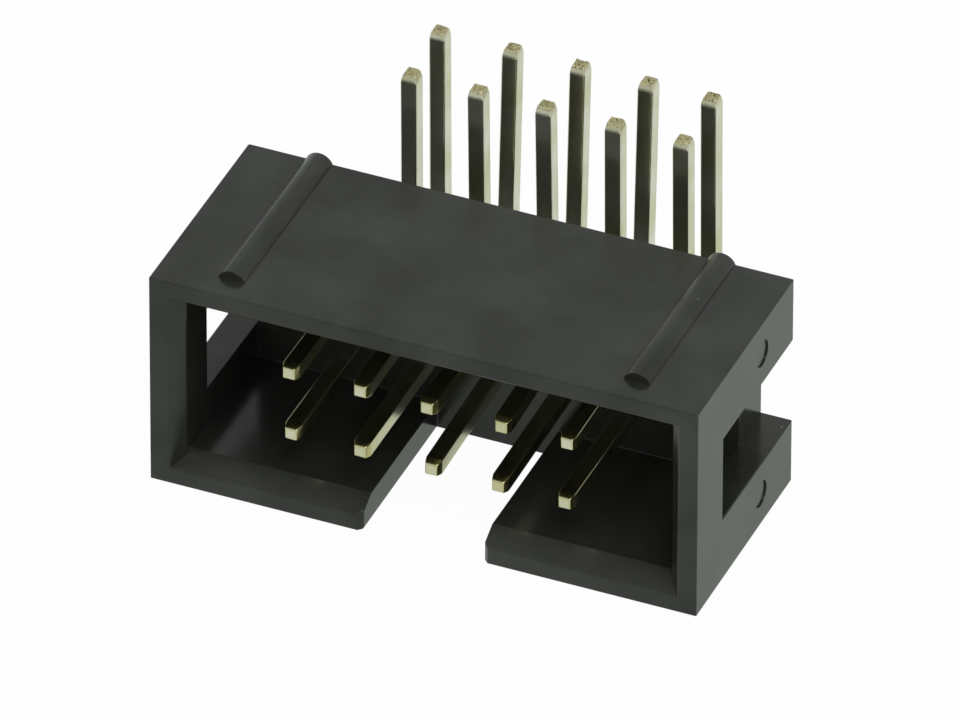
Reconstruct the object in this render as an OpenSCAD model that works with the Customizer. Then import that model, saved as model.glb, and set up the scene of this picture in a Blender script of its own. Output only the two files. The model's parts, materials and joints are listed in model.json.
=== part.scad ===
// Right-angle box header for a ribbon-cable socket.
// A moulded housing, open at the front, carries two rows of square pins. The pins
// leave it at the back and bend up into solder tails. X runs along the rows, the
// mating opening faces -Y, +Z is the way the tails point, and the header rests on
// the wall that has the key slot. The origin is under the middle of the whole part.

/* [Contacts] */
// Pins in each of the two rows
columns = 5; // [2:1:20]
// Distance between neighbouring pins of a row
pitch = 2.54; // [2:0.01:3]
// Distance between the two rows, both in the opening and at the tails
row_pitch = 2.54; // [2:0.01:3]
// Side of a pin's square section
pin_w = 0.6; // [0.4:0.02:0.7]
// Side of the flat at a pin's tip
tip_w = 0.36; // [0.2:0.02:0.38]
// Length of the bevels at a pin's tip
tip_l = 0.3; // [0.1:0.05:0.6]
// Inner radius of the bend
bend_r = 0.4; // [0.2:0.05:0.8]
// Distance of the mating tips behind the front face
tip_recess = 0.5; // [0.2:0.05:1.5]
// Distance from the rear face to the middle of the nearer row of tails
tail_standoff = 2.45; // [1.5:0.05:5]
// Height of the tail tips above the top face
tail_reach = 2.85; // [1.5:0.05:5]
// Gap between a pin and its hole on each side, closed by the press fit
pin_fit = 0.01; // [0.005:0.005:0.03]
// Width and depth of the bevel where a hole opens at the rear face
hole_bevel = 0.15; // [0.05:0.05:0.3]

/* [Housing] */
// Depth from the front face to the rear face
housing_d = 8.6; // [7:0.1:12]
// Height across the two rows
housing_h = 8.5; // [7.8:0.1:10]
// Distance from the last pin of a row to the end of the housing
end_reach = 5.08; // [4.5:0.01:6]
// Thickness of the walls above and below the opening
side_wall = 1.1; // [0.9:0.05:1.4]
// Thickness of the two end walls
end_wall = 1.15; // [0.9:0.05:1.5]
// Thickness of the base that holds the pins
base_t = 2; // [1.5:0.1:3]

/* [Mouth] */
// Height of the bevel on the upper and lower walls, at the front
mouth_bevel_h = 0.45; // [0.2:0.05:0.6]
// Depth of the bevel on the upper and lower walls
mouth_bevel_d = 0.85; // [0.3:0.05:1.5]
// Width of the bevel on the end walls
mouth_bevel_w = 0.45; // [0.2:0.05:0.6]
// Depth of the bevel on the end walls
mouth_bevel_end_d = 0.6; // [0.3:0.05:1.5]

/* [Key slot] */
// Width of the slot for the socket's key
key_w = 4.5; // [3:0.1:5]
// Bevel on the slot's two front corners
key_bevel = 0.2; // [0.1:0.05:0.5]

/* [End notches] */
// Height of the notch in each end wall
notch_h = 3.4; // [2:0.1:4]
// Distance of the notch behind the front face
notch_front = 2.35; // [2:0.05:4]

/* [Board ribs] */
// Width of a rib where it leaves the top face
rib_w = 1; // [0.6:0.05:1.4]
// Height of a rib above the top face
rib_h = 0.35; // [0.2:0.05:0.45]
// Distance of a rib's middle from the end of the housing
rib_inset = 2.66; // [1.5:0.02:4]
// Distance of a rib's front end behind the front face
rib_front = 1; // [0.5:0.05:3]

/* [Moulding marks] */
// Diameter of the round marks on the end faces
mark_d = 1; // [0.6:0.05:1.4]
// Depth of the marks
mark_depth = 0.06; // [0.04:0.01:0.1]
// Distance of the marks from the rear face
mark_rear = 2.8; // [1.5:0.1:4]

/* [Hidden] */

housing_l = (columns - 1) * pitch + 2 * end_reach;
cavity_l = housing_l - 2 * end_wall;
cavity_h = housing_h - 2 * side_wall;
cavity_d = housing_d - base_t;

// The whole part, from the front face to the back of the farther tails
part_d = housing_d + tail_standoff + row_pitch + pin_w / 2;
front_y = -part_d / 2;
rear_y = front_y + housing_d;
mid_z = housing_h / 2;
tail_top = housing_h + tail_reach;

// Height of each row in the opening, and place of its tails: upper row, lower row
row_z = [mid_z + row_pitch / 2, mid_z - row_pitch / 2];
tail_y = [rear_y + tail_standoff, rear_y + tail_standoff + row_pitch];

// The rib is a segment of this circle
rib_r = (pow(rib_w / 2, 2) + pow(rib_h, 2)) / (2 * rib_h);
arm_h = (housing_h - notch_h) / 2;

housing_colour = "#343736";
pin_colour = "#cbbf8e";

// How far a cutting shape reaches past the face that it opens
cut = 0.5;
$fn = 64;

// Place of the pin number i along its row
function pin_x(i) = (i - (columns + 1) / 2) * pitch;

// Outline of an opening that is wider by a bevel at its mouth, which is at y = 0
module mouth_outline(w, bevel_w, bevel_d, depth) {
    mouth_w = w + 2 * bevel_w;
    polygon([
        [-mouth_w / 2, -cut],
        [mouth_w / 2, -cut],
        [mouth_w / 2, 0],
        [w / 2, bevel_d],
        [w / 2, depth],
        [-w / 2, depth],
        [-w / 2, bevel_d],
        [-mouth_w / 2, 0]
    ]);
}

// The space for the socket, as deep as the base, with a bevel round its mouth
module cavity() {
    translate([0, front_y, mid_z])
        intersection() {
            linear_extrude(housing_h, center = true)
                mouth_outline(cavity_l, mouth_bevel_w, mouth_bevel_end_d, cavity_d);
            rotate([0, 90, 0])
                linear_extrude(housing_l, center = true)
                    mouth_outline(cavity_h, mouth_bevel_h, mouth_bevel_d, cavity_d);
        }
}

// The slot through the lower wall, from the front face to the base
module key_slot() {
    translate([0, front_y, -cut])
        linear_extrude(side_wall + 2 * cut)
            mouth_outline(key_w, key_bevel, key_bevel, cavity_d);
}

// A notch through one end wall, open at the rear
module end_notch(side) {
    translate([side * (cavity_l / 2 + end_wall), front_y + notch_front, mid_z - notch_h / 2])
        translate([side > 0 ? -end_wall : -cut, 0, 0])
            cube([end_wall + cut, housing_d - notch_front + cut, notch_h]);
}

// A square hole through the base, with a bevel at the rear that guides the pin in
module contact_hole() {
    hole_w = pin_w + 2 * pin_fit;
    rotate([0, 0, 180])
        intersection() {
            linear_extrude(pitch, center = true)
                mouth_outline(hole_w, hole_bevel, hole_bevel, base_t + cut);
            rotate([0, 90, 0])
                linear_extrude(pitch, center = true)
                    mouth_outline(hole_w, hole_bevel, hole_bevel, base_t + cut);
        }
}

// A low half-round rib that keeps the housing off the board
module board_rib(side) {
    translate([side * (housing_l / 2 - rib_inset), rear_y, housing_h + rib_h - rib_r])
        rotate([90, 0, 0])
            cylinder(h = housing_d - rib_front, r = rib_r);
}

// A shallow round mark in the middle of each arm beside a notch
module end_marks(side) {
    for (z = [arm_h / 2, housing_h - arm_h / 2])
        translate([side * (housing_l / 2 - mark_depth), rear_y - mark_rear, z])
            rotate([0, side * 90, 0])
                cylinder(h = mark_depth + cut, d = mark_d);
}

module housing() {
    color(housing_colour)
        difference() {
            union() {
                translate([-housing_l / 2, front_y, 0])
                    cube([housing_l, housing_d, housing_h]);
                for (side = [-1, 1])
                    board_rib(side);
            }
            cavity();
            key_slot();
            for (i = [1:columns], z = row_z)
                translate([pin_x(i), rear_y, z])
                    contact_hole();
            for (side = [-1, 1]) {
                end_notch(side);
                end_marks(side);
            }
        }
}

// Side view of a straight bar that stands on y = 0 and ends in a bevelled tip
module bar_outline(length) {
    polygon([
        [-pin_w / 2, 0],
        [pin_w / 2, 0],
        [pin_w / 2, length - tip_l],
        [tip_w / 2, length],
        [-tip_w / 2, length],
        [-pin_w / 2, length - tip_l]
    ]);
}

// A square bar along +Z, with its four bevels at the upper end
module bar(length) {
    intersection() {
        rotate([90, 0, 0])
            linear_extrude(pin_w, center = true)
                bar_outline(length);
        rotate([90, 0, 90])
            linear_extrude(pin_w, center = true)
                bar_outline(length);
    }
}

// The quarter bend, from the leg below its centre to the leg behind it
module bend() {
    rotate([90, 0, 90])
        rotate([0, 0, -90])
            rotate_extrude(angle = 90)
                translate([bend_r, -pin_w / 2])
                    square(pin_w);
}

// A pin of one row: 0 is the upper row with the nearer tails, 1 the lower row
module pin(row, i) {
    bend_y = tail_y[row] - pin_w / 2 - bend_r;
    bend_z = row_z[row] + pin_w / 2 + bend_r;
    color(pin_colour)
        translate([pin_x(i), 0, 0])
            union() {
                translate([0, bend_y, row_z[row]])
                    rotate([90, 0, 0])
                        bar(bend_y - front_y - tip_recess);
                translate([0, bend_y, bend_z])
                    bend();
                translate([0, tail_y[row], bend_z])
                    bar(tail_top - bend_z);
            }
}

housing();
for (i = [1:columns]) pin(0, i);
for (i = [1:columns]) pin(1, i);
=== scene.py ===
# %% [markdown]
# # Dressing a right-angle box header
# The header is a small board connector: one moulded housing of black plastic, and ten square pins that
# pass through it and bend up into solder tails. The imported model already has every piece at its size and
# place. This lesson gives those pieces the finish of real ones, and moves nothing but the ends of the
# pins, which lean by up to 0.2 mm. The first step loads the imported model. It must come before anything
# else, because every later position is read from it.

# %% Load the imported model
import json
import math

import bmesh
import bpy
import numpy as np
from mathutils import Matrix, Vector

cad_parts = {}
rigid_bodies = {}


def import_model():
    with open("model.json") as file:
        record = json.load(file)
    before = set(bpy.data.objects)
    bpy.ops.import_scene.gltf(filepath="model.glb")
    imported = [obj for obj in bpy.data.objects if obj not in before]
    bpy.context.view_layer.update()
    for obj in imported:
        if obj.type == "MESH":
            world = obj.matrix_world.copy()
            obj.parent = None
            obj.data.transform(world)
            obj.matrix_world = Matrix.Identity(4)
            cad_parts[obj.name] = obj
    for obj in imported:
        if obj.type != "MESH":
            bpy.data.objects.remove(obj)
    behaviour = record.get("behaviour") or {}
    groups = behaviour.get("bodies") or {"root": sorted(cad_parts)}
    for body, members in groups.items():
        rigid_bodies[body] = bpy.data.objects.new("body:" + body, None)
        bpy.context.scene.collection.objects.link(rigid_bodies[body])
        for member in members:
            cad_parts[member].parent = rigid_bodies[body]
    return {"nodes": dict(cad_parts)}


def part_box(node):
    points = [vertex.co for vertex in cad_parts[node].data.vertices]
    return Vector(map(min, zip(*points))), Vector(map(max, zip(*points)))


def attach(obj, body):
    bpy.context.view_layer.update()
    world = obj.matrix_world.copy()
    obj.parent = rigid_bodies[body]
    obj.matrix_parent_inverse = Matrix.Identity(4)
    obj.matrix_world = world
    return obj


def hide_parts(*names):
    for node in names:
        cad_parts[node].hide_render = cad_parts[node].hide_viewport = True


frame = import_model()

MM = 0.001

for start_up_object in [o for o in bpy.data.objects if o.name in ("Cube", "Light", "Camera")]:
    bpy.data.objects.remove(start_up_object)
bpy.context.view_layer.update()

# %% [markdown]
# ## Reading the sizes
# The pieces are dressed from their own boxes, so a change of size in the model carries through to here.
# A pin's box says nearly all about it: its width across the row, the height of its leg, the place of its
# tail and the ends of both. Only what a box can't say, such as the bend and the tip, is a value below.

# %% Places of the housing and the pins
housing_low, housing_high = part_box("housing")
pin_names = sorted(name for name in frame["nodes"] if "_pin_" in name)
pin_boxes = {name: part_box(name) for name in pin_names}
first_low, first_high = pin_boxes["inner_pin_1"]
pin_width = first_high.x - first_low.x
print("pins:", len(pin_names), "of width", round(pin_width / MM, 2), "mm")

# %% Sizes that the boxes can't say, in metres
BASE = 2.0 * MM          # depth of the base that holds the pins
BEND = 0.4 * MM          # inner radius of a pin's bend
base_front = housing_high.y - BASE

# %% [markdown]
# ## The camera
# Small parts are shown with a long lens from some way off, which keeps their edges nearly parallel.
# The camera is described as a person would say it: how far round, how high, how far away and what it
# points at. Its back direction follows from the two angles, and one small roll levels the picture.

# %% Camera
CAMERA_AZIMUTH = math.radians(22.87)
CAMERA_ELEVATION = math.radians(36.07)
CAMERA_ROLL = math.radians(0.15)
CAMERA_DISTANCE = 0.7255
CAMERA_LENS = 794.2      # millimetres, on a sensor 36 mm wide

aim = Vector((0.35 * MM, housing_low.y + 4.25 * MM, 5.19 * MM))
turn = Matrix.Rotation(CAMERA_AZIMUTH, 4, "Z") @ Matrix.Rotation(math.pi / 2 - CAMERA_ELEVATION, 4, "X")
back = turn @ Vector((0, 0, 1))
camera_data = bpy.data.cameras.new("camera")
camera_data.lens = CAMERA_LENS
camera_data.clip_start = 0.01
camera = bpy.data.objects.new("camera", camera_data)
bpy.context.scene.collection.objects.link(camera)
camera.matrix_world = (
    Matrix.Translation(aim + back * CAMERA_DISTANCE) @ turn @ Matrix.Rotation(CAMERA_ROLL, 4, "Z")
)
bpy.context.scene.camera = camera
print("camera at, mm:", [round(v / MM) for v in camera.matrix_world.translation])

# %% [markdown]
# ## Three helpers for materials
# Colours are written as people know them, as sRGB hex values. Shaders calculate in linear light, so one
# function does the change. The second helper adds one node, sets its properties and fills its inputs,
# each with a plain value or with a link, which keeps a material readable as a list of steps. The third
# starts a material that holds nothing but its output.

# %% Colour and node helpers
def linear(hex_colour):
    """
    The linear RGBA of an sRGB hex colour.
    Each channel c becomes c / 12.92 in the dark and ((c + 0.055) / 1.055) to the power 2.4 above it.
    """
    srgb = np.array([int(hex_colour[i:i + 2], 16) for i in (1, 3, 5)]) / 255
    rgb = np.where(srgb <= 0.04045, srgb / 12.92, ((srgb + 0.055) / 1.055) ** 2.4)
    return (*rgb, 1.0)


def add_node(tree, kind, inputs=None, **settings):
    """
    Adds a node. Settings are its properties. Inputs go from a socket's name or number to a plain value or
    to the output that it is linked to.
    """
    node = tree.nodes.new(kind)
    for name, value in settings.items():
        setattr(node, name, value)
    for socket, value in (inputs or {}).items():
        if isinstance(value, bpy.types.NodeSocket):
            tree.links.new(value, node.inputs[socket])
        else:
            node.inputs[socket].default_value = value
    return node


def empty_material(name):
    """A material with nothing in it but its output node."""
    material = bpy.data.materials.new(name)
    material.use_nodes = True
    material.node_tree.nodes.clear()
    return material, add_node(material.node_tree, "ShaderNodeOutputMaterial")


# %% [markdown]
# ## The plastic of the housing
# The housing is injection moulded and nearly black. Housings of this kind are mostly made from a polyester
# filled with short glass fibres, so that is what this material follows. It has almost no colour of its
# own: what the eye sees is a soft mirror image of the room, so a face seen at a low angle looks mid grey
# and one seen square on looks black. That comes from a dark base colour and a roughness near 0.2. A
# mould's spark-eroded steel leaves a fine grain, the fibres leave a faint cloud where the melt flowed, and
# a few of them show as pale specks.

# %% Moulded plastic
GRAIN = 0.09 * MM        # size of the mould's grain
CLOUD = 2.6 * MM         # size of the pale and dark clouds
SPECK_SPACING = 0.55 * MM
SPECK_LIMIT = 0.12       # a cell holds a speck where its random grey is below this
SPECK_RADIUS = 0.07      # radius of a speck, as a share of the spacing
NOISE_RANGE = {"From Min": 0.3, "From Max": 0.7}  # most values of a noise lie between these


def glass_filled_polyester():
    """Near-black moulded plastic: grain as bump, clouds in colour and gloss, specks in colour."""
    material, output = empty_material("glass_filled_polyester")
    tree = material.node_tree
    place = add_node(tree, "ShaderNodeTexCoord").outputs["Object"]

    grain = add_node(tree, "ShaderNodeTexNoise", {"Vector": place, "Scale": 1 / GRAIN, "Detail": 3.0})
    cloud = add_node(tree, "ShaderNodeTexNoise", {"Vector": place, "Scale": 1 / CLOUD, "Detail": 3.0})
    shade = add_node(tree, "ShaderNodeValToRGB", {"Fac": cloud.outputs["Fac"]})
    shade.color_ramp.elements[0].position = 0.35
    shade.color_ramp.elements[0].color = linear("#272926")
    shade.color_ramp.elements[1].position = 0.7
    shade.color_ramp.elements[1].color = linear("#31332f")

    cells = add_node(tree, "ShaderNodeTexVoronoi", {"Vector": place, "Scale": 1 / SPECK_SPACING})
    chosen = add_node(
        tree, "ShaderNodeMath", {0: cells.outputs["Color"], 1: SPECK_LIMIT}, operation="LESS_THAN"
    )
    near = add_node(
        tree, "ShaderNodeMath", {0: cells.outputs["Distance"], 1: SPECK_RADIUS}, operation="LESS_THAN"
    )
    speck = add_node(
        tree, "ShaderNodeMath", {0: chosen.outputs[0], 1: near.outputs[0]}, operation="MULTIPLY"
    )
    colour = add_node(
        tree, "ShaderNodeMix",
        {"Factor": speck.outputs[0], "A": shade.outputs["Color"], "B": linear("#7a7e76")},
        data_type="RGBA",
    )
    gloss = add_node(
        tree, "ShaderNodeMapRange",
        {**NOISE_RANGE, "Value": cloud.outputs["Fac"], "To Min": 0.15, "To Max": 0.22},
    )
    shine = add_node(
        tree, "ShaderNodeMapRange",
        {**NOISE_RANGE, "Value": cloud.outputs["Fac"], "To Min": 0.42, "To Max": 0.58},
    )
    relief = add_node(
        tree, "ShaderNodeBump",
        {"Height": grain.outputs["Fac"], "Strength": 0.5, "Distance": 0.006 * MM},
    )
    surface = add_node(
        tree, "ShaderNodeBsdfPrincipled",
        {
            "Base Color": colour.outputs["Result"],
            "Roughness": gloss.outputs["Result"],
            "Normal": relief.outputs["Normal"],
            "Specular IOR Level": shine.outputs["Result"],
            "IOR": 1.46,
        },
    )
    tree.links.new(surface.outputs["BSDF"], output.inputs["Surface"])
    return material


plastic = glass_filled_polyester()
print("material:", plastic.name, "with", len(plastic.node_tree.nodes), "nodes")

# %% [markdown]
# ## The metal of the pins
# The pins are drawn wire, pale like champagne. Pins of this kind are often bronze with a flash of gold, and
# so thin a gold looks pale. Drawing leaves fine lines along the wire, and the plating varies a little from
# pin to pin. Where the wire was cut to length, the end is torn and mottled. The mating tips look yellower,
# perhaps because they were coined before plating and took more of the gold. Their flat ends get less of that
# gold than their bevels, so they are painted paler: a painted reflection of the white floor, which they face.
# The lines follow the wire round its bend, so they read the piece's own UV map, which holds the distance
# along the wire and round it in millimetres. They are finer than a view of the whole part can show, so from
# afar they only soften the shine. Each kind of end is marked by an attribute of the mesh.

# %% Plated wire
DRAW_LINE = 0.01         # spacing of the drawing lines, in the millimetres of the UV map
DRAW_LENGTH = 0.32       # length over which a line fades, in the same millimetres
PLATING_PATCH = 2.2 * MM
TEAR = 0.07 * MM         # size of the torn grains on a cut end
TORN_ROUGHNESS = 0.2     # roughness of a torn end on top of the wire's own


def gold_flashed_bronze():
    """Pale plated metal with drawing lines along the wire and torn, mottled ends."""
    material, output = empty_material("gold_flashed_bronze")
    tree = material.node_tree
    place = add_node(tree, "ShaderNodeTexCoord").outputs["Object"]
    along = add_node(tree, "ShaderNodeUVMap", uv_map="wire").outputs["UV"]
    cut = add_node(tree, "ShaderNodeAttribute", attribute_name="cut_end").outputs["Fac"]
    tip_gold_with_painted_pale_end = add_node(tree, "ShaderNodeAttribute", attribute_name="gilded_tip_painted_pale_end").outputs["Fac"]

    stretched = add_node(
        tree, "ShaderNodeMapping", {"Vector": along, "Scale": (1 / DRAW_LENGTH, 1 / DRAW_LINE, 1)}
    )
    lines = add_node(
        tree, "ShaderNodeTexNoise", {"Vector": stretched.outputs["Vector"], "Scale": 1.0, "Detail": 2.0}
    )
    patch = add_node(tree, "ShaderNodeTexNoise", {"Vector": place, "Scale": 1 / PLATING_PATCH})
    plating = add_node(tree, "ShaderNodeValToRGB", {"Fac": patch.outputs["Fac"]})
    plating.color_ramp.elements[0].position = 0.35
    plating.color_ramp.elements[0].color = linear("#dcd9b6")
    plating.color_ramp.elements[1].position = 0.62
    plating.color_ramp.elements[1].color = linear("#f2eee2")

    torn = add_node(tree, "ShaderNodeTexNoise", {"Vector": place, "Scale": 1 / TEAR, "Detail": 2.0})
    bare = add_node(tree, "ShaderNodeValToRGB", {"Fac": torn.outputs["Fac"]})
    bare.color_ramp.elements[0].position = 0.36
    bare.color_ramp.elements[0].color = linear("#4d4726")
    bare.color_ramp.elements[1].position = 0.46
    bare.color_ramp.elements[1].color = linear("#d3ca9c")
    # The gold of the mating tips is lower on the flat end of each tip, so that end is painted paler: a
    # painted reflection of the white floor.
    gilded_with_painted_pale_end = add_node(
        tree, "ShaderNodeMix",
        {"Factor": tip_gold_with_painted_pale_end, "A": plating.outputs["Color"], "B": linear("#cfc68c")},
        data_type="RGBA",
    )
    colour = add_node(
        tree, "ShaderNodeMix",
        {"Factor": cut, "A": gilded_with_painted_pale_end.outputs["Result"], "B": bare.outputs["Color"]},
        data_type="RGBA",
    )
    drawn_gloss = add_node(
        tree, "ShaderNodeMapRange",
        {**NOISE_RANGE, "Value": lines.outputs["Fac"], "To Min": 0.14, "To Max": 0.26},
    )
    gloss = add_node(
        tree, "ShaderNodeMath",
        {0: cut, 1: TORN_ROUGHNESS, 2: drawn_gloss.outputs["Result"]},
        operation="MULTIPLY_ADD",
    )
    drawn_relief = add_node(
        tree, "ShaderNodeBump", {"Height": lines.outputs["Fac"], "Strength": 0.3, "Distance": 0.002 * MM}
    )
    surface = add_node(
        tree, "ShaderNodeBsdfPrincipled",
        {
            "Base Color": colour.outputs["Result"],
            "Roughness": gloss.outputs["Value"],
            "Normal": drawn_relief.outputs["Normal"],
            "Metallic": 1.0,
        },
    )
    tree.links.new(surface.outputs["BSDF"], output.inputs["Surface"])
    return material


pin_metal = gold_flashed_bronze()
print("material:", pin_metal.name, "with", len(pin_metal.node_tree.nodes), "nodes")

# %% [markdown]
# ## The housing's edges
# A mould seldom makes a knife edge, so every outer edge of the housing is rounded by a few hundredths of a
# millimetre, and that thin round catches the light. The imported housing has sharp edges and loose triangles.
# A copy is merged into one skin, its flat triangles are joined into whole faces, and a Bevel modifier
# rounds the edges. Each edge carries its own weight, because a wide round would eat up the pin holes and
# the shallow marks, whose edges stay nearly sharp. Inner corners stay sharp too, because there the mould
# has an outer corner of ground steel. The corners round the front of the base are the exception, since the
# end of a mould's core often has a small radius. Moulded walls are flat right up to the round, so the faces
# are shaded flat, apart from the ribs, whose narrow strips are shaded as one curve.

# %% Copy of the housing with rounded edges
EDGE_ROUND = 0.05 * MM
FINE_SHARE = 0.2         # share of the round on the finest edges
FINE_EDGE = 0.3 * MM     # edges shorter than this are fine ones
SHARP = math.radians(30)
SAME_PLANE = math.radians(1)
SAME_SPOT = 0.0005 * MM  # points closer than this are merged
ON_FACE = 0.01 * MM      # a point this near to a face lies on it
RIB_TILT = 0.02          # a face whose normal leans this much to the side and upwards is part of a rib


def in_pin_field(point):
    """True for a point in the part of the base where the pin holes are."""
    margin = 0.5 * MM
    low = min(low.z for low, _ in pin_boxes.values()) - margin
    high = max(low.z for low, _ in pin_boxes.values()) + pin_width + margin
    inside = abs(point.x) < abs(first_low.x) + pin_width + margin and low < point.z < high
    return inside and point.y > base_front - margin


def sharp_inner_corner(edge, point):
    """True for an inner corner that isn't one of those round the front of the base."""
    return not edge.is_convex and abs(point.y - base_front) > ON_FACE


def merged_copy(node_name, new_name):
    """A copy of a node's mesh with its doubles merged and its flat triangles joined."""
    shape = bmesh.new()
    shape.from_mesh(frame["nodes"][node_name].data)
    bmesh.ops.remove_doubles(shape, verts=shape.verts, dist=SAME_SPOT)
    bmesh.ops.dissolve_limit(shape, angle_limit=SAME_PLANE, verts=shape.verts, edges=shape.edges)
    weight = shape.edges.layers.float.new("bevel_weight_edge")
    for edge in shape.edges:
        middle = (edge.verts[0].co + edge.verts[1].co) / 2
        fine = edge.calc_length() < FINE_EDGE or in_pin_field(middle)
        if edge.calc_face_angle() > SHARP:
            share = FINE_SHARE if fine else 1.0
            edge[weight] = 0.0 if sharp_inner_corner(edge, middle) else share
    for face in shape.faces:
        face.smooth = min(abs(face.normal.x), abs(face.normal.z)) > RIB_TILT
    mesh = bpy.data.meshes.new(new_name)
    shape.to_mesh(mesh)
    shape.free()
    return mesh


housing_mesh = merged_copy("housing", "moulded_housing")
moulded_housing = bpy.data.objects.new("moulded_housing", housing_mesh)
bpy.context.scene.collection.objects.link(moulded_housing)
housing_mesh.materials.append(plastic)
rounding = moulded_housing.modifiers.new("edge_round", "BEVEL")
rounding.limit_method = "WEIGHT"
rounding.width = EDGE_ROUND
rounding.segments = 3
rounding.use_clamp_overlap = False
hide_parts("housing")
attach(moulded_housing, "root")
print("housing: faces before rounding", len(housing_mesh.polygons))

# %% [markdown]
# ## The pins
# A pin is one square wire, so it is built as one profile carried along one path. The profile is a
# square with round corners, since drawn wire has no sharp ones. The path is a straight leg, a quarter
# circle and a second straight leg. At both ends the profile narrows to a bevelled tip.

# %% Profile: a square with round corners
def rounded_square(width, radius, arc_steps=4):
    """
    Points round a square with round corners, as an array of (across, up).
    About each corner's centre they are centre + radius * (cos t, sin t) over a quarter turn.
    One more point on the flat at each side of an arc keeps the shading of the flats flat.
    """
    t = np.linspace(0, np.pi / 2, arc_steps + 1)
    ease = radius / 3
    arc = radius * np.stack([np.cos(t), np.sin(t)], 1)
    arc = np.vstack([[radius, -ease], arc, [-ease, radius]])
    corner = arc + width / 2 - radius
    quarter_turn = np.array([[0, 1], [-1, 0]])
    return np.vstack([corner @ np.linalg.matrix_power(quarter_turn, k) for k in range(4)])


CORNER_ROUND = 0.05 * MM
profile = rounded_square(pin_width, CORNER_ROUND)
print("profile:", len(profile), "points")

# %% Path: leg, bend and tail
def wire_path(distance, leg, radius):
    """
    Place and heading at each distance from the mating tip, as (y, z, angle turned).
    The wire runs along y for the length of the leg, then turns by distance / radius up to a
    quarter turn, and then runs straight up z.
    """
    angle = np.clip((distance - leg) / radius, 0, np.pi / 2)
    straight_up = np.maximum(distance - leg - radius * np.pi / 2, 0)
    y = np.minimum(distance, leg) + radius * np.sin(angle)
    z = radius * (1 - np.cos(angle)) + straight_up
    return y, z, angle


# %% [markdown]
# A tip is described from the middle of its end outwards, by how far each ring lies behind the end and how
# wide it is. The rings on the end itself carry the tear of the cut: a sum of a few waves in random
# directions, fainter on the mating tips, which are coined smooth, than on the tails, which are sheared.
# Real pins also stand a little out of line, so each has a small lean of its own. All the tails of the lower
# row lean back a little here, as long ones may do when they spring back after the bend.

# %% Tips: distance behind the end in millimetres, and width as a share of the wire
MATING_RINGS = np.array([
    (0.0, 0.0), (0.0, 0.2), (0.0, 0.4), (0.0, 0.56), (0.003, 0.64), (0.02, 0.71),
    (0.05, 0.77), (0.15, 0.88), (0.26, 0.97), (0.3, 0.995), (0.34, 1.0),
])
TAIL_RINGS = np.array([
    (0.0, 0.0), (0.0, 0.2), (0.0, 0.4), (0.0, 0.58), (0.005, 0.68), (0.03, 0.77),
    (0.08, 0.84), (0.16, 0.91), (0.26, 0.98), (0.3, 0.995), (0.34, 1.0),
])
TEAR_WAVES = 7
TEAR_WAVELENGTHS = (0.1, 0.35)  # shortest and longest, in millimetres
MATING_TEAR = 0.006 * MM
TAIL_TEAR = 0.025 * MM
TEAR_DEPTH = 0.2 * MM    # the tear fades out over this distance behind the end
COINED = 0.25 * MM       # length of the coined tip, whose gold fades out over as much again
# Below this share of the width, the flat end of a mating tip gets less gold and is painted paler: a painted
# reflection of the white floor.
PAINTED_PALE_END_SHARE = 0.375       # share of the wire's width from which the gold grows outwards
GOLD_GAIN = 2.4          # growth of the gold per share of the width
PAINTED_PALE_END_GOLD = 0.25        # gold in the paler middle of a mating tip's end

# Lean of a pin's tips, in millimetres: mating tip sideways, tail's tip sideways, tail's tip backwards
LEAN = {
    "inner_pin_1": (-0.10, -0.02, 0.0), "inner_pin_2": (0.01, -0.07, 0.02),
    "inner_pin_3": (-0.05, -0.10, 0.04), "inner_pin_4": (0.17, -0.06, 0.06),
    "inner_pin_5": (0.06, -0.06, 0.03),
    "outer_pin_1": (-0.03, -0.12, 0.2), "outer_pin_2": (0.01, 0.07, 0.2),
    "outer_pin_3": (0.12, 0.06, 0.2), "outer_pin_4": (0.06, 0.06, 0.2),
    "outer_pin_5": (-0.02, -0.14, 0.2),
}


def tear(across, up, height, rng):
    """
    Lengthwise shift of the points of a cut end.
    It is the sum of sine waves sin(2 pi s / wave + phase) of random direction, length and phase, where s
    is the distance along the wave's direction.
    """
    shift = np.zeros_like(across)
    for _ in range(TEAR_WAVES):
        direction, phase = rng.uniform(0, 2 * np.pi, 2)
        wave = rng.uniform(*TEAR_WAVELENGTHS) * MM
        shift += np.sin((across * np.cos(direction) + up * np.sin(direction)) * 2 * np.pi / wave + phase)
    return shift * height / math.sqrt(TEAR_WAVES)


# %% One pin
BEND_STEPS = 12


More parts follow.
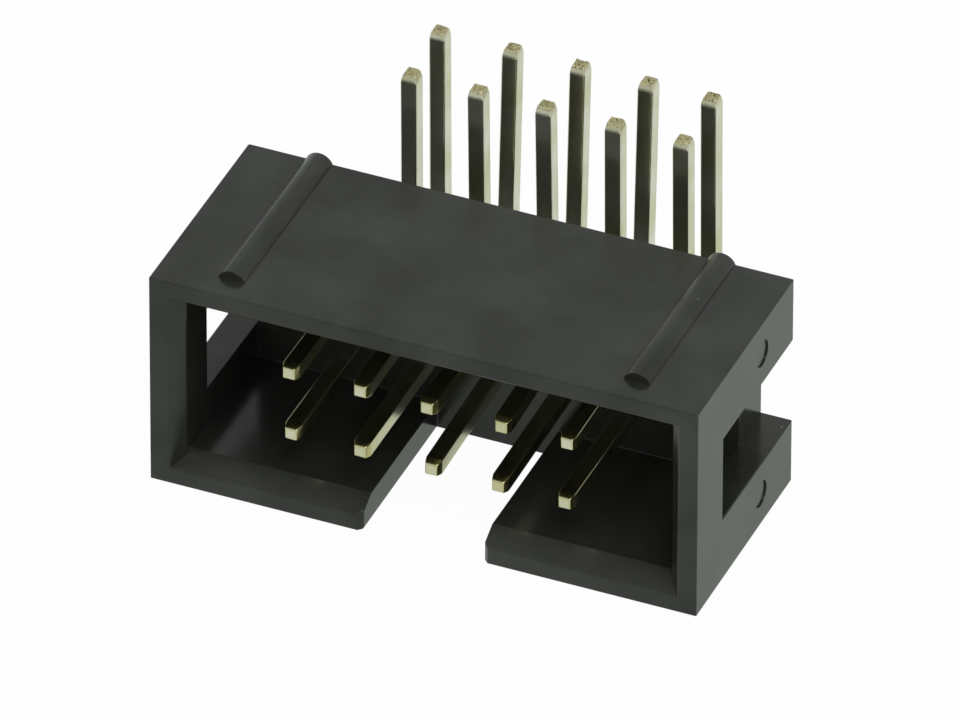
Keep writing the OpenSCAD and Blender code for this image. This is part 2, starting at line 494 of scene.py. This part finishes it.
def pin_mesh(name, low, high, lean, seed):
    """
    A wire from the mating tip at low.y to the tail tip at high.z.
    Each ring of points is path + width share * (across * X + up * normal), where the normal is at
    right angles to the path, in the plane of the bend.
    """
    radius = BEND + pin_width / 2
    row_z = low.z + pin_width / 2
    tail_y = high.y - pin_width / 2
    leg = tail_y - radius - low.y
    length = leg + radius * np.pi / 2 + high.z - row_z - radius

    mating_tip, tail_tip = MATING_RINGS[:, 0] * MM, TAIL_RINGS[:, 0] * MM
    through_base = np.array([base_front, housing_high.y]) - low.y
    bend = leg + radius * np.linspace(0, np.pi / 2, BEND_STEPS + 1)
    distance = np.concatenate([mating_tip, through_base, bend, (length - tail_tip)[::-1]])
    full_width = np.ones(len(through_base) + len(bend))
    width = np.concatenate([MATING_RINGS[:, 1], full_width, TAIL_RINGS[::-1, 1]])

    y, z, angle = wire_path(distance, leg, radius)
    across = width[:, None] * profile[:, 0]
    up = width[:, None] * profile[:, 1]
    rng = np.random.default_rng(seed)
    near_front = np.clip(1 - distance / TEAR_DEPTH, 0, 1)[:, None]
    near_tail = np.clip(1 - (length - distance) / TEAR_DEPTH, 0, 1)[:, None]
    lengthwise = near_front * tear(across, up, MATING_TEAR, rng)
    lengthwise = lengthwise + near_tail * tear(across, up, TAIL_TEAR, rng)

    cos, sin = np.cos(angle)[:, None], np.sin(angle)[:, None]
    out_of_base = np.clip((base_front - low.y - distance) / (base_front - low.y), 0, 1)
    above_bend = np.clip((z - radius) / (high.z - row_z - radius), 0, 1)
    sideways = (lean[0] * out_of_base + lean[1] * above_bend) * MM
    backwards = lean[2] * above_bend * MM
    points = np.stack([
        (low.x + high.x) / 2 + sideways[:, None] + across,
        low.y + (y + backwards)[:, None] - up * sin + lengthwise * cos,
        row_z + z[:, None] + up * cos + lengthwise * sin,
    ], 2)
    # Less gold on the flat end of a mating tip paints it paler than its bevels: a painted reflection of the
    # white floor.
    gold_and_painted_pale_end = np.clip(GOLD_GAIN * (width - PAINTED_PALE_END_SHARE), PAINTED_PALE_END_GOLD, 1)
    tip_gold_with_painted_pale_end = gold_and_painted_pale_end * np.clip(2 - distance / COINED, 0, 1)
    return build_rings(name, points, distance, {"cut_end": near_tail[:, 0], "gilded_tip_painted_pale_end": tip_gold_with_painted_pale_end})


# %% Rings of points to a closed mesh
def build_rings(name, points, distance, marks):
    """
    Joins rings x points into quads, closes both ends and keeps the wire's own UV map.
    Quad (i, k) has the corners (i, k), (i + 1, k), (i + 1, k + 1) and (i, k + 1), where k runs round.
    """
    rings, count = points.shape[:2]
    i, k = np.meshgrid(np.arange(rings - 1), np.arange(count), indexing="ij")
    corner = np.stack([(i, k), (i + 1, k), (i + 1, k + 1), (i, k + 1)], -1).reshape(2, -1, 4)
    faces = corner[0] * count + corner[1] % count

    mesh = bpy.data.meshes.new(name)
    mesh.from_pydata(points.reshape(-1, 3), [], faces)
    girth = np.linalg.norm(np.diff(np.vstack([profile, profile[:1]]), axis=0), axis=1).cumsum()
    round_wire = np.concatenate([[0], girth])
    uv = np.stack([distance[corner[0]], round_wire[corner[1]]], -1) / MM
    layer = mesh.uv_layers.new(name="wire")
    layer.data.foreach_set("uv", uv.ravel())
    for mark_name, value in marks.items():
        mark = mesh.attributes.new(mark_name, "FLOAT", "POINT")
        mark.data.foreach_set("value", np.repeat(value, count).astype(np.float32))

    shape = bmesh.new()
    shape.from_mesh(mesh)
    bmesh.ops.remove_doubles(shape, verts=shape.verts, dist=SAME_SPOT)
    bmesh.ops.recalc_face_normals(shape, faces=shape.faces)
    shape.to_mesh(mesh)
    shape.free()
    mesh.shade_smooth()
    mesh.materials.append(pin_metal)
    return mesh


# %% All ten pins
for seed, name in enumerate(pin_names):
    low, high = pin_boxes[name]
    wire = bpy.data.objects.new("plated_" + name, pin_mesh("plated_" + name, low, high, LEAN[name], seed))
    bpy.context.scene.collection.objects.link(wire)
    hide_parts(name)
    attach(wire, "root")
print("pins:", len(pin_names), "of", len(wire.data.polygons), "faces each")

# %% [markdown]
# ## Floor, world and lamp
# The header stands on a plain white floor. Dark gloss and pale metal show what stands round them, so the
# white has to be there in their reflections too: the floor mixes a plain lit white with a glow that only
# the camera, mirrors and glass see. The lit part keeps the header's soft shadow. What reflections see is a
# little greyer than the white right round the header, as in a room whose floor darkens with distance. The
# world gives most of the light, and one wide lamp, off to the right, gives it a direction. It stands where
# no flat face of the header mirrors it to the camera.

# %% White floor
FLOOR_SIZE = 3.0
CAMERA_GLOW = 0.97       # share of the glow in what the camera sees
MIRROR_GLOW = 0.9        # share of the glow in what reflections see
MIRROR_LEVEL = 0.71      # level of that glow, where 1 is the white that the camera sees


def white_floor():
    """Lit white paint, mixed with a white glow for the camera and with a greyer one for reflections."""
    material, output = empty_material("white_floor")
    tree = material.node_tree
    ray = add_node(tree, "ShaderNodeLightPath").outputs
    mirrored = add_node(
        tree, "ShaderNodeMath", {0: ray["Is Glossy Ray"], 1: ray["Is Transmission Ray"]}, operation="ADD"
    )
    mirror_share = add_node(
        tree, "ShaderNodeMath", {0: mirrored.outputs[0], 1: MIRROR_GLOW}, operation="MULTIPLY"
    )
    camera_share = add_node(
        tree, "ShaderNodeMath", {0: ray["Is Camera Ray"], 1: CAMERA_GLOW}, operation="MULTIPLY"
    )
    paint = add_node(tree, "ShaderNodeBsdfDiffuse", {"Color": linear("#f4f4f2")})
    white_glow = add_node(tree, "ShaderNodeEmission", {"Color": linear("#ffffff"), "Strength": 1.0})
    grey_glow = add_node(tree, "ShaderNodeEmission", {"Color": linear("#f6fff4"), "Strength": MIRROR_LEVEL})
    for_camera = add_node(
        tree, "ShaderNodeMixShader",
        {0: camera_share.outputs[0], 1: paint.outputs[0], 2: white_glow.outputs[0]},
    )
    mixed = add_node(
        tree, "ShaderNodeMixShader",
        {0: mirror_share.outputs[0], 1: for_camera.outputs[0], 2: grey_glow.outputs[0]},
    )
    tree.links.new(mixed.outputs[0], output.inputs["Surface"])
    return material


half = FLOOR_SIZE / 2
floor_mesh = bpy.data.meshes.new("floor")
floor_corners = [(-half, -half, 0), (half, -half, 0), (half, half, 0), (-half, half, 0)]
floor_mesh.from_pydata(floor_corners, [], [(0, 1, 2, 3)])
floor_mesh.materials.append(white_floor())
floor = bpy.data.objects.new("floor", floor_mesh)
bpy.context.scene.collection.objects.link(floor)

# %% World
ROOM_LIGHT = 0.64
world = bpy.data.worlds.new("white_room")
world.use_nodes = True
bpy.context.scene.world = world
room = world.node_tree
room.nodes.clear()
room_ray = add_node(room, "ShaderNodeLightPath").outputs
lit_room = add_node(room, "ShaderNodeBackground", {"Color": linear("#f2f6f2"), "Strength": ROOM_LIGHT})
seen_room = add_node(room, "ShaderNodeBackground", {"Color": linear("#ffffff"), "Strength": 1.0})
room_mix = add_node(
    room, "ShaderNodeMixShader",
    {0: room_ray["Is Camera Ray"], 1: lit_room.outputs[0], 2: seen_room.outputs[0]},
)
add_node(room, "ShaderNodeOutputWorld", {"Surface": room_mix.outputs[0]})

# %% One wide lamp
LAMP_AZIMUTH = math.radians(40)
LAMP_ELEVATION = math.radians(58)
LAMP_DISTANCE = 0.9
LAMP_SIDE = 0.4
LAMP_WATTS = 2.0

lamp_data = bpy.data.lights.new("wide_lamp", "AREA")
lamp_data.shape = "SQUARE"
lamp_data.size = LAMP_SIDE
lamp_data.energy = LAMP_WATTS
lamp = bpy.data.objects.new("wide_lamp", lamp_data)
bpy.context.scene.collection.objects.link(lamp)
lamp_turn = Matrix.Rotation(LAMP_AZIMUTH, 4, "Z") @ Matrix.Rotation(math.pi / 2 - LAMP_ELEVATION, 4, "X")
lamp.matrix_world = Matrix.Translation(lamp_turn @ Vector((0, 0, LAMP_DISTANCE))) @ lamp_turn
print("lamp at, mm:", [round(v / MM) for v in lamp.matrix_world.translation])
bpy.context.scene.view_settings.view_transform = "Standard"
